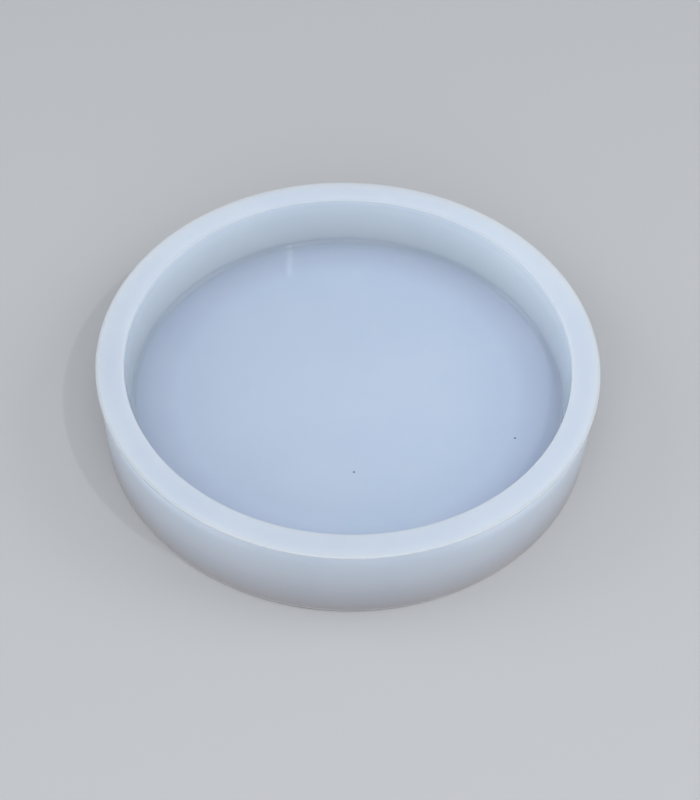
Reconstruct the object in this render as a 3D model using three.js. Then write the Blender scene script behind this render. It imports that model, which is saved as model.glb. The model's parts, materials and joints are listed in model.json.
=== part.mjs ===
// Round open mould for casting resin: one thick piece of translucent silicone rubber.
// Millimetres, +Z up. The origin is the middle of the flat underside.
import * as THREE from "three";

// The cavity, which sets the size of the piece that is cast in it.
const mouthDiameter = 150;
const cavityDepth = 18.5;
const cavityTaper = 2; // the wall stands in by this much between the mouth and the floor
const floorFillet = 1.5;
const mouthRound = 0.4;

// The rubber round the cavity.
const rimWidth = 9.4;
const baseThickness = 13.3;
const wallTaper = 1.75; // the outer wall stands in by this much between the lip and the foot
const footRound = 1.6;

// The thin lip that stands out round the top of the wall.
const lipHeight = 1.2;
const lipOverhang = 0.6;
const rimRound = 0.4;
const lipEdgeRound = 0.3;

// How finely the round shapes are cut.
const sides = 120;
const floorFilletSteps = 6;
const roundSteps = 4;
const smallRoundSteps = 2;

const mouthRadius = mouthDiameter / 2;
const rimRadius = mouthRadius + rimWidth;
const rimHeight = baseThickness + cavityDepth;

// A corner of the cross-section: distance from the axis, height, radius of its round and steps in it.
function corner(x, y, round = 0, steps = 1) {
  return { place: new THREE.Vector2(x, y), round, steps };
}

// Points of an arc that touches both sides of a corner. The round takes at most half of either side.
function arcAt(before, at, after) {
  const back = before.place.clone().sub(at.place);
  const ahead = after.place.clone().sub(at.place);
  const halfOpening = back.angleTo(ahead) / 2;
  const longest = Math.min(back.length(), ahead.length()) / 2;
  const reach = Math.min(at.round / Math.tan(halfOpening), longest);
  const radius = reach * Math.tan(halfOpening);
  back.normalize();
  ahead.normalize();
  const toCentre = back.clone().add(ahead).normalize().multiplyScalar(reach / Math.cos(halfOpening));
  const centre = at.place.clone().add(toCentre);
  const start = at.place.clone().addScaledVector(back, reach).sub(centre);
  const end = at.place.clone().addScaledVector(ahead, reach).sub(centre);
  const turn = Math.atan2(start.cross(end), start.dot(end));
  const points = [];
  for (let step = 0; step <= at.steps; step += 1) {
    const angle = start.angle() + (turn * step) / at.steps;
    points.push(new THREE.Vector2(Math.cos(angle), Math.sin(angle)).multiplyScalar(radius).add(centre));
  }
  return points;
}

function roundedOutline(corners) {
  return corners.flatMap((at, i) => {
    return at.round > 0 ? arcAt(corners[i - 1], at, corners[i + 1]) : [at.place];
  });
}

// The whole mould is one body of revolution. The outline runs from the axis under the base, out and up
// the wall, over the rim, and down the cavity back to the axis.
function mouldBody() {
  const wallRadius = rimRadius - lipOverhang;
  const lipBottom = rimHeight - lipHeight;
  const outline = roundedOutline([
    corner(0, 0),
    corner(wallRadius - wallTaper, 0, footRound, roundSteps),
    corner(wallRadius, lipBottom),
    corner(rimRadius, lipBottom, lipEdgeRound, smallRoundSteps),
    corner(rimRadius, rimHeight, rimRound, roundSteps),
    corner(mouthRadius, rimHeight, mouthRound, roundSteps),
    corner(mouthRadius - cavityTaper, baseThickness, floorFillet, floorFilletSteps),
    corner(0, baseThickness),
  ]);
  const geometry = new THREE.LatheGeometry(outline, sides);
  geometry.rotateX(Math.PI / 2);
  const silicone = new THREE.MeshStandardMaterial({ color: 0xbccad9, roughness: 0.38, metalness: 0 });
  const mesh = new THREE.Mesh(geometry, silicone);
  mesh.name = "mould_body";
  return mesh;
}

const mould = new THREE.Group();
mould.add(mouldBody());

export default mould;
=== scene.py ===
import json
import math

import bmesh
import bpy
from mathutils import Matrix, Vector


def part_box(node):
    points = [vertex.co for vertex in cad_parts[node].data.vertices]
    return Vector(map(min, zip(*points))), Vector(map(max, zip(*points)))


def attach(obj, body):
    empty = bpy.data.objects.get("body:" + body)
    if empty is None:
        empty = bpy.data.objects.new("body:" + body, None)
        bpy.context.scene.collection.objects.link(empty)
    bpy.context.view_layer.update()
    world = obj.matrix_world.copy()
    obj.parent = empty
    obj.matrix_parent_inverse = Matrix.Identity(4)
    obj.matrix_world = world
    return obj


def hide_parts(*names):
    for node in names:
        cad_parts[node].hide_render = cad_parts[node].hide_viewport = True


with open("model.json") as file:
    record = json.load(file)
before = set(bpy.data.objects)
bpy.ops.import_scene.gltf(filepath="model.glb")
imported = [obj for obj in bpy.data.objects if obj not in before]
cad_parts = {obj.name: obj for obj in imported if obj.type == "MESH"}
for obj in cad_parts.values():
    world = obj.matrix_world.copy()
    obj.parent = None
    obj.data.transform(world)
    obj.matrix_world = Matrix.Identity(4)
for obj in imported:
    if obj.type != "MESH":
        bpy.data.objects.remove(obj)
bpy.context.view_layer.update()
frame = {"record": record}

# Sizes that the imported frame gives, in metres.
mounts = {mount["name"]: mount["pos_m"] for mount in frame["record"]["mounts"]}
lowCorner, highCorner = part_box("mould_body")
rimRadius = (highCorner.x - lowCorner.x) / 2
rimHeight = highCorner.z
floorHeight = mounts["cavity_floor"][2]
rimWidth = 2 * (rimRadius - mounts["rim_face"][0])  # that mount is half way across the rim
mouthRadius = rimRadius - rimWidth


def rgb(red, green, blue):
    # Screen colour from 0 to 255, as the linear colour that Blender's sockets take.
    def linear(level):
        share = level / 255
        return share / 12.92 if share <= 0.04045 else ((share + 0.055) / 1.055) ** 2.4

    return (linear(red), linear(green), linear(blue), 1)


mouldShape = {
    "sides": 256,
    "lipHeight": 0.0012,
    "lipOverhang": 0.0006,
    "wallTaper": 0.00175,  # the outer wall stands in by this much at the foot
    "cavityTaper": 0.0020,  # and the cavity wall by this much at the floor
    "footRound": 0.0016,
    "lipEdgeRound": 0.0003,
    "rimRound": 0.0004,
    "mouthRound": 0.0004,
    "floorFillet": 0.0015,
    "roundSteps": 6,
    "lipSteps": 3,
    "filletSteps": 12,
    "wallRings": 14,
    "ringStep": 0.0005,  # first of the extra rings beside a round
    "rimRings": 4,
    "flatRings": 12,
    "footGap": 1.2,  # the outer wall's rings start this many foot rounds above the underside
    "filletGap": 1.1,  # and the cavity's this many fillets above the floor
    "mouthGap": 1.2,  # and end this many mouth rounds below the rim
    "rimMiddle": 0.002,  # half the width that the rim's rings leave plain
    "flatMiddle": 0.005,  # the same for the floor and the underside
    "weld": 1e-6,  # points closer than this become one
    "smoothAngle": 35,
    "lobes": 3,  # the soft ring is this many lobes out of round
    "lobeDepth": 0.00028,
    "skinDepth": 0.00010,  # gentle unevenness of the poured skin
    "skinSize": 0.035,
    "skinRise": 3,  # it has its full depth from a third of the height up
}

# How faces are told apart: how far up or down their normals point, and how far off they may lie.
uprightFace = 0.3
levelFace = 0.9
flatFace = 0.999
touching = 1e-5


def openEdit(piece):
    bpy.ops.object.select_all(action="DESELECT")
    bpy.context.view_layer.objects.active = piece
    piece.select_set(True)
    bpy.ops.object.mode_set(mode="EDIT")
    bpy.ops.mesh.select_all(action="DESELECT")


def pickFaces(test):
    # Selects the faces whose middle and normal pass the test.
    bpy.ops.mesh.select_mode(type="FACE")
    bpy.ops.mesh.select_all(action="DESELECT")
    mesh = bpy.context.edit_object.data
    shape = bmesh.from_edit_mesh(mesh)
    for face in shape.faces:
        face.select_set(test(face.calc_center_median(), face.normal))
    bmesh.update_edit_mesh(mesh)


def pickRing(radius, height):
    # Selects the edges that run round the axis at that radius and height.
    bpy.ops.mesh.select_mode(type="EDGE")
    bpy.ops.mesh.select_all(action="DESELECT")
    mesh = bpy.context.edit_object.data
    shape = bmesh.from_edit_mesh(mesh)
    for edge in shape.edges:
        away = [max(abs(math.hypot(v.co.x, v.co.y) - radius), abs(v.co.z - height)) for v in edge.verts]
        edge.select_set(max(away) < 2 * touching)
    bmesh.update_edit_mesh(mesh)


def roundRing(radius, height, reach, steps):
    pickRing(radius, height)
    bpy.ops.mesh.bevel(offset=reach, offset_type="OFFSET", segments=steps, profile=0.5, affect="EDGES")


def widen(share):
    # Scales what is selected about the axis.
    bpy.ops.transform.resize(value=(share, share, 1), center_override=(0, 0, 0))


def cutAcross(low, high, facing):
    # Adds rings from low to high to the upright wall that faces out (1) or in (-1).
    def onWall(middle, normal):
        outward = normal.x * middle.x + normal.y * middle.y
        return abs(normal.z) < uprightFace and facing * outward > 0

    count = mouldShape["wallRings"]
    for ring in range(count + 1):
        height = low + (high - low) * ring / count
        pickFaces(onWall)
        bpy.ops.mesh.bisect(plane_co=(0, 0, height), plane_no=(0, 0, 1))


def pickFlat(up, height):
    # Selects the flat that faces up (1) or down (-1) at that height.
    def onFlat(middle, normal):
        return normal.z * up > flatFace and abs(middle.z - height) < touching

    pickFaces(onFlat)


def addRings(width, count):
    # Insets the selected flat by one fine ring, then by even rings over that width.
    bpy.ops.mesh.inset(thickness=mouldShape["ringStep"], depth=0)
    for ring in range(count):
        bpy.ops.mesh.inset(thickness=width / count, depth=0)


def makeMould():
    shape = mouldShape
    wallRadius = rimRadius - shape["lipOverhang"]
    footRadius = wallRadius - shape["wallTaper"]
    floorRadius = mouthRadius - shape["cavityTaper"]
    lipBottom = rimHeight - shape["lipHeight"]
    bpy.ops.object.select_all(action="DESELECT")
    bpy.ops.mesh.primitive_cylinder_add(
        vertices=shape["sides"], radius=wallRadius, depth=lipBottom, location=(0, 0, lipBottom / 2)
    )
    mould = bpy.context.object
    mould.name = "silicone_mould"
    bpy.ops.object.transform_apply(location=True, rotation=True, scale=True)
    openEdit(mould)

    # The wall tapers in to the foot.
    pickFaces(lambda middle, normal: normal.z < -levelFace)
    widen(footRadius / wallRadius)

    # The lip stands out all round, and the rim closes in to the mouth.
    pickFaces(lambda middle, normal: normal.z > levelFace)
    bpy.ops.mesh.extrude_region_move(TRANSFORM_OT_translate={"value": (0, 0, 0)})
    widen(rimRadius / wallRadius)
    bpy.ops.mesh.extrude_region_move(TRANSFORM_OT_translate={"value": (0, 0, shape["lipHeight"])})
    bpy.ops.mesh.inset(thickness=rimWidth, depth=0)

    # The cavity goes down to its flat floor.
    bpy.ops.mesh.extrude_region_move(TRANSFORM_OT_translate={"value": (0, 0, floorHeight - rimHeight)})
    widen(floorRadius / mouthRadius)

    # Every edge of the rubber is rounded.
    roundRing(footRadius, 0, shape["footRound"], shape["roundSteps"])
    roundRing(rimRadius, lipBottom, shape["lipEdgeRound"], shape["lipSteps"])
    roundRing(rimRadius, rimHeight, shape["rimRound"], shape["roundSteps"])
    roundRing(mouthRadius, rimHeight, shape["mouthRound"], shape["roundSteps"])
    roundRing(floorRadius, floorHeight, shape["floorFillet"], shape["filletSteps"])

    # Rings up both walls, clear of the rounds.
    aboveFoot = shape["footGap"] * shape["footRound"]
    aboveFloor = floorHeight + shape["filletGap"] * shape["floorFillet"]
    belowMouth = rimHeight - shape["mouthGap"] * shape["mouthRound"]
    cutAcross(aboveFoot, lipBottom - shape["ringStep"], 1)
    cutAcross(aboveFloor, belowMouth, -1)

    # Rings across the rim, the floor and the underside.
    pickFlat(1, rimHeight)
    addRings(rimWidth / 2 - shape["rimMiddle"], shape["rimRings"])
    for up, height in ((1, floorHeight), (-1, 0)):
        pickFlat(up, height)
        addRings(floorRadius - shape["flatMiddle"], shape["flatRings"])
        bpy.ops.mesh.poke()
    bpy.ops.mesh.select_all(action="SELECT")
    bpy.ops.mesh.remove_doubles(threshold=shape["weld"])
    bpy.ops.mesh.normals_make_consistent(inside=False)
    bpy.ops.object.mode_set(mode="OBJECT")
    relaxMould(mould)
    bpy.ops.object.shade_smooth_by_angle(angle=math.radians(shape["smoothAngle"]))
    print("mould modelled:", len(mould.data.polygons), "faces")
    return mould


def relaxMould(mould):
    # Cured rubber is never quite round: the wall leans in by a hair, more at the top.
    shape = mouldShape
    skin = mould.vertex_groups.new(name="skin")
    for vertex in mould.data.vertices:
        place = vertex.co
        rise = max(0.0, place.z / rimHeight)
        around = math.atan2(place.y, place.x)
        lean = shape["lobeDepth"] * rise * (1 + math.sin(shape["lobes"] * around)) / 2
        share = 1 - lean / rimRadius
        place.x *= share
        place.y *= share
        skin.add([vertex.index], min(1.0, shape["skinRise"] * rise), "REPLACE")
    texture = bpy.data.textures.new("poured_skin", "CLOUDS")
    texture.noise_scale = shape["skinSize"]
    uneven = mould.modifiers.new("poured_skin", "DISPLACE")
    uneven.texture = texture
    uneven.vertex_group = "skin"
    uneven.mid_level = 0
    uneven.strength = -shape["skinDepth"]
    bpy.ops.object.modifier_apply(modifier=uneven.name)


class Wire:  # an output socket, so that shader maths reads as an expression
    def __init__(self, finish, socket):
        self.finish = finish
        self.socket = socket

    def maths(self, operation, first, second=0.0):
        return self.finish.node("ShaderNodeMath", {"operation": operation}, {0: first, 1: second})

    def __add__(self, other):
        return self.maths("ADD", self, other)

    def __radd__(self, other):
        return self.maths("ADD", other, self)

    def __sub__(self, other):
        return self.maths("SUBTRACT", self, other)

    def __rsub__(self, other):
        return self.maths("SUBTRACT", other, self)

    def __mul__(self, other):
        return self.maths("MULTIPLY", self, other)

    def __rmul__(self, other):
        return self.maths("MULTIPLY", other, self)

    def __truediv__(self, other):
        return self.maths("DIVIDE", self, other)

    def __pow__(self, other):
        return self.maths("POWER", self, other)

    def __abs__(self):
        return self.maths("ABSOLUTE", self)


class Finish:  # one material and the nodes in it
    def __init__(self, name):
        self.material = bpy.data.materials.new(name)
        self.material.use_nodes = True
        self.tree = self.material.node_tree
        self.shader = self.tree.nodes["Principled BSDF"]

    def node(self, kind, settings=None, inputs=None, output=0):
        made = self.tree.nodes.new(kind)
        for key, value in (settings or {}).items():
            if key == "stops":
                self.setStops(made.color_ramp, value)
            else:
                setattr(made, key, value)
        for key, value in (inputs or {}).items():
            self.feed(made, key, value)
        return Wire(self, made.outputs[output])

    def setStops(self, ramp, stops):
        while len(ramp.elements) < len(stops):
            ramp.elements.new(1.0)
        for element, (position, colour) in zip(ramp.elements, stops):
            element.position = position
            element.color = colour

    def feed(self, node, key, value):
        if isinstance(value, Wire):
            self.tree.links.new(value.socket, node.inputs[key])
        else:
            node.inputs[key].default_value = value

    def surface(self, **inputs):
        for key, value in inputs.items():
            self.feed(self.shader, key.replace("_", " "), value)

    def between(self, value, start, end, low=0.0, high=1.0):  # smooth step from low to high
        return self.node(
            "ShaderNodeMapRange",
            {"interpolation_type": "SMOOTHSTEP"},
            {"Value": value, "From Min": start, "From Max": end, "To Min": low, "To Max": high},
        )

    def tint(self, share, first, second, blend="MIX"):
        settings = {"data_type": "RGBA", "blend_type": blend}
        return self.node("ShaderNodeMix", settings, {0: share, 6: first, 7: second}, 2)

    def band(self, value, middle, reach):  # 1 at the middle, fading to 0 within the reach
        return self.between(abs(value - middle), reach, 0.0)

    def dim(self, colour, factor):  # darker below 1, lighter above it
        return self.node("ShaderNodeVectorMath", {"operation": "SCALE"}, {0: colour, "Scale": factor})

    def away(self, place, point):  # distance from the point
        return self.node("ShaderNodeVectorMath", {"operation": "DISTANCE"}, {0: place, 1: point}, "Value")

    def ramp(self, value, stops):
        return self.node("ShaderNodeValToRGB", {"stops": stops}, {"Fac": value})

    def split(self, place):  # x, y and z
        parts = self.node("ShaderNodeSeparateXYZ", {}, {"Vector": place}).socket.node
        return [Wire(self, socket) for socket in parts.outputs]

    def noise(self, place, scale, detail=2.0, roughness=0.5):
        inputs = {"Vector": place, "Scale": scale, "Detail": detail, "Roughness": roughness}
        return self.node("ShaderNodeTexNoise", {}, inputs)


siliconeLook = {
    # Colours up the outside, from the underside to the rim: height as a share of the whole, and paint. The
    # wall's paint darkens downwards as painted shade, and the foot round carries a painted highlight.
    "outside": [
        # painted highlight on the foot round
        (0.0, rgb(226, 226, 226)),
        (0.034, rgb(218, 218, 219)),
        # painted shade, deepening down the wall to here
        (0.06, rgb(174, 172, 175)),
        (0.25, rgb(181, 184, 191)),
        (0.45, rgb(193, 199, 208)),
        (0.9, rgb(207, 217, 228)),
        (0.965, rgb(205, 214, 225)),
        (1.0, rgb(205, 214, 225)),
    ],
    # Up the cavity wall, from the floor to the rim; the darker stops low down are painted shade in the
    # corner at the floor.
    "cavityWall": [
        (0.0, rgb(193, 203, 216)),
        (0.06, rgb(201, 212, 223)),
        (0.14, rgb(204, 214, 222)),
        (0.45, rgb(213, 222, 229)),
        (0.8, rgb(221, 230, 237)),
        (1.0, rgb(212, 222, 234)),
    ],
    # Across the floor, from the middle to the wall; the darker stops near the wall are painted shade in the
    # corner.
    "floor": [
        (0.0, rgb(197, 210, 228)),
        (0.55, rgb(194, 208, 226)),
        (0.78, rgb(192, 206, 225)),
        (0.9, rgb(186, 197, 216)),
        (0.95, rgb(182, 193, 212)),
        (1.0, rgb(186, 198, 212)),
    ],
    # Where one side of the mould gives way to the next, in metres.
    "cavityBlend": (0.0008, -0.0001),  # out from the mouth
    "floorBlend": (0.0022, 0.0002),  # up from the floor
    "topBlend": (0.0012, 0.0006),  # down from the rim
    "polishBlend": (0.0008, 0.0025),  # down from the rim
    # Painted light and shade: the colours are made lighter or darker by side, where more or less light
    # falls.
    "rimLift": 0.03,  # the rim is lighter all round
    "rimRight": 0.3,  # lighter per metre to the right
    "rimBack": 0.5,  # and per metre to the back
    "rimBetween": 12,  # and between those two directions, per square metre
    "wallSides": 0.055,  # the outer wall is lighter towards both sides
    "wallSidesFrom": (0.01, 0.055),  # metres from the middle where that starts and is full
    "cavityRight": 0.8,  # the cavity wall is lighter per metre to the right
    "cavityBack": 16,  # and darker towards the front and back, per square metre
    "floorLevel": 1.015,  # the floor all over
    "floorRight": 0.75,  # lighter per metre to the right
    "floorEdge": 0.08,  # lighter beside the wall
    "floorFront": 1.7,  # more so at the front
    "floorEdgeFrom": 0.68,  # share of the floor's radius
    "mouthShade": 0.09,  # painted shade on the back of the mouth edge, damping its highlight
    "mouthShadeReach": 0.0016,
    "mouthShadeFrom": (0.0, 0.06),  # metres to the back
    "lipGlow": 0.17,  # painted light in the lip and under it, towards both sides
    "lipGlowDepth": (0.008, 0.002),  # below the rim
    "lipGlowFrom": (0.02, 0.075),  # to either side
    "edgeShade": 0.19,  # painted dark line where the rim rolls over into the lip
    "edgeShadeIn": 0.0003,  # this far in from the rim's edge
    "edgeShadeReach": 0.001,
    "edgeShadeFrom": (0.03, 0.075),  # to either side
    "edgeShadeFront": 0.3,  # share of it that is left at the front and back
    "edgeHighlight": 0.03,  # painted highlight along the lip, mottled by noise
    "edgeHighlightReach": 0.0007,  # above and below the middle of the lip
    "edgeHighlightFrom": (0.002, 0.0008),  # in from the rim's edge
    "lipHighlightNoise": (300.0, 4.0, 0.6),  # scale, detail and roughness
    "lipHighlightRange": (0.35, 0.6),
    # Gloss.
    "rimRoughness": 0.42,
    "cavityRoughness": 0.06,  # the cavity is polished
    "smudge": 0.10,
    "smudgeNoise": (70.0, 3.0),
    "smudgeRange": (0.45, 0.7),
    "smudgePolished": 0.15,  # share of the smudges that the polished cavity shows
    # Texture and grit.
    "cloudy": 0.30,
    "cloudColour": rgb(240, 244, 250),
    "cloudNoise": (26.0, 5.0, 0.6),
    "cloudRange": (0.3, 0.75),
    "grain": 0.00004,  # depth of the finest texture of the rim and wall
    "grainNoise": (1400.0, 2.0),
    "specks": [(0.0031, -0.0345), (0.0567, -0.0175)],  # dark grit on the floor
    "speckColour": rgb(95, 97, 103),
    "speckSize": (0.0005, 0.0002),  # where each speck starts, and where it is darkest
    # The rubber itself.
    "refraction": 1.41,
    "scatter": 1.0,
    "scatterDepth": 0.008,
    "scatterSpread": (1.0, 1.0, 1.0),
}


def siliconeFinish():
    look = siliconeLook
    finish = Finish("milky_silicone")
    place = finish.node("ShaderNodeTexCoord", {}, {}, "Object")
    x, y, z = finish.split(place)
    radius = (x * x + y * y) ** 0.5
    depth = rimHeight - z
    sideways = abs(x)
    floorRadius = mouthRadius - mouldShape["cavityTaper"]

    # Where each side of the mould shows.
    inCavity = finish.between(radius - mouthRadius, *look["cavityBlend"])
    onFloor = finish.between(z - floorHeight, *look["floorBlend"]) * inCavity
    onTop = finish.between(depth, *look["topBlend"])
    polished = finish.between(depth, *look["polishBlend"]) * inCavity

    # Outside, with painted light and shade on the lip, the rim and the wall.
    # The height ramp brings the painted shade down the wall and the painted highlight on the foot.
    outside = finish.ramp(z / rimHeight, look["outside"])
    # Painted highlight along the middle of the lip, broken up by noise.
    lipHighlight = finish.between(finish.noise(place, *look["lipHighlightNoise"]), *look["lipHighlightRange"])
    lipHighlight = lipHighlight * finish.band(depth, mouldShape["lipHeight"] / 2, look["edgeHighlightReach"])
    lipHighlight = lipHighlight * finish.between(rimRadius - radius, *look["edgeHighlightFrom"])
    # Painted dark line where the rim rolls over into the lip, fullest at the sides.
    roll = finish.band(rimRadius - radius, look["edgeShadeIn"], look["edgeShadeReach"]) * onTop
    roll = roll * finish.between(sideways, *look["edgeShadeFrom"], look["edgeShadeFront"], 1.0)
    # Painted light in the lip and on the wall under it.
    glow = finish.between(depth, *look["lipGlowDepth"]) * (1 - onTop)
    glow = glow * finish.between(sideways, *look["lipGlowFrom"])
    lines = lipHighlight * look["edgeHighlight"] + glow * look["lipGlow"] - roll * look["edgeShade"]
    # Painted light on the rim and on the sides of the outer wall.
    rimLift = look["rimLift"] + x * look["rimRight"] + y * look["rimBack"] + abs(x * y) * look["rimBetween"]
    wallLift = finish.between(sideways, *look["wallSidesFrom"]) * look["wallSides"]
    outside = finish.dim(outside, 1 + lines + onTop * rimLift + (1 - onTop) * wallLift)

    # The cavity wall and the floor, with painted shade at their corner and painted light and shade by side.
    # Painted shade towards the floor corner comes with this ramp.
    cavityWall = finish.ramp((z - floorHeight) / (rimHeight - floorHeight), look["cavityWall"])
    # Painted light to the right and painted shade towards the front and back.
    cavityWall = finish.dim(cavityWall, 1 + x * look["cavityRight"] - y * y * look["cavityBack"])
    # Painted shade beside the wall comes with this ramp.
    floor = finish.ramp(radius / floorRadius, look["floor"])
    # Painted light on the floor beside the wall, more at the front.
    nearWall = finish.between(radius / floorRadius, look["floorEdgeFrom"], 1.0)
    floorLift = look["floorLevel"] + x * look["floorRight"]
    floorLift = floorLift + nearWall * (look["floorEdge"] - y * look["floorFront"])
    floor = finish.dim(floor, floorLift)
    colour = finish.tint(inCavity, outside, finish.tint(onFloor, cavityWall, floor))
    # Painted shade on the back of the mouth edge.
    mouthEdge = finish.band(radius, mouthRadius, look["mouthShadeReach"]) * onTop
    mouthEdge = mouthEdge * finish.between(y, *look["mouthShadeFrom"])
    colour = finish.dim(colour, 1 - mouthEdge * look["mouthShade"])

    # Cloudiness, and grit that fell on the floor.
    cloud = finish.between(finish.noise(place, *look["cloudNoise"]), *look["cloudRange"]) * look["cloudy"]
    colour = finish.tint(cloud, colour, look["cloudColour"], "MULTIPLY")
    for speckX, speckY in look["specks"]:
        grit = finish.away(place, (speckX, speckY, floorHeight))
        colour = finish.tint(finish.between(grit, *look["speckSize"]), colour, look["speckColour"])

    # Polished cavity, satin rim and wall, with faint smudges.
    polish = look["rimRoughness"] - polished * (look["rimRoughness"] - look["cavityRoughness"])
    smudges = finish.between(finish.noise(place, *look["smudgeNoise"]), *look["smudgeRange"])
    smudges = smudges * look["smudge"] * (1 - polished * (1 - look["smudgePolished"]))
    grain = finish.noise(place, *look["grainNoise"]) * (1 - inCavity)
    bump = {"Strength": 1.0, "Distance": look["grain"], "Height": grain}
    normal = finish.node("ShaderNodeBump", {}, bump)
    finish.surface(Base_Color=colour, Roughness=polish + smudges, IOR=look["refraction"], Normal=normal)
    finish.surface(
        Subsurface_Weight=look["scatter"],
        Subsurface_Scale=look["scatterDepth"],
        Subsurface_Radius=look["scatterSpread"],
    )
    print("silicone finish made")
    return finish.material


studio = {
    "floorColour": rgb(196, 197, 199),
    "floorRoughness": 0.85,
    "floorSize": 8,
    "world": rgb(226, 230, 236),
    "worldStrength": 0.58,  # soft light from all round
    # Where each lamp stands, how wide it is and its power.
    "lamps": {
        "softbox_top": ((0.0, 0.0, 1.2), 0.9, 1.1),
        "softbox_front": ((0.0, -1.0, 0.8), 1.0, 5.0),
        "softbox_left": ((-1.0, 0.0, 0.8), 0.8, 2.6),
        "softbox_right": ((1.0, 0.0, 0.8), 0.8, 3.4),
        "small_lamp": ((0.379, -0.442, 1.032), 0.03, 1.2),
    },
}

cameraSet = {
    "target": (0.0010, -0.01915, rimHeight),
    "distance": 0.756,
    "elevation": 48.96,
    "roll": 1.90,
    "lens": 103.5,
    "sensor": 36,
}


def makeFloor():
    bpy.ops.object.select_all(action="DESELECT")
    bpy.ops.mesh.primitive_plane_add(size=studio["floorSize"], location=(0, 0, 0))
    ground = bpy.context.object
    ground.name = "studio_floor"
    paper = Finish("studio_paper")
    paper.surface(Base_Color=studio["floorColour"], Roughness=studio["floorRoughness"])
    ground.data.materials.append(paper.material)


def makeLamp(name, place, size, power):
    bpy.ops.object.light_add(type="AREA", location=place)
    lamp = bpy.context.object
    lamp.name = name
    lamp.data.size = size
    lamp.data.energy = power
    lamp.rotation_euler = Vector(place).to_track_quat("Z", "Y").to_euler()  # faces the mould


def makeStudio():
    makeFloor()
    world = bpy.data.worlds.new("studio_air")
    world.use_nodes = True
    bpy.context.scene.world = world
    air = world.node_tree.nodes["Background"]
    air.inputs["Color"].default_value = studio["world"]
    air.inputs["Strength"].default_value = studio["worldStrength"]
    for name, (place, size, power) in studio["lamps"].items():
        makeLamp(name, place, size, power)
    bpy.context.scene.view_settings.view_transform = "Standard"
    print("studio set")


def makeCamera():
    elevation = math.radians(cameraSet["elevation"])
    back = (0, -math.cos(elevation), math.sin(elevation))
    place = [aim + cameraSet["distance"] * step for aim, step in zip(cameraSet["target"], back)]
    bpy.ops.object.camera_add(location=place)
    camera = bpy.context.object
    camera.name = "studio_camera"
    camera.rotation_mode = "ZXY"
    camera.rotation_euler = (math.pi / 2 - elevation, 0, math.radians(cameraSet["roll"]))
    camera.data.lens = cameraSet["lens"]
    camera.data.sensor_width = cameraSet["sensor"]
    bpy.context.scene.camera = camera
    print("camera placed")


makeCamera()
makeStudio()
mould = makeMould()
mould.data.materials.clear()
mould.data.materials.append(siliconeFinish())
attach(mould, "root")
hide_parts("mould_body")
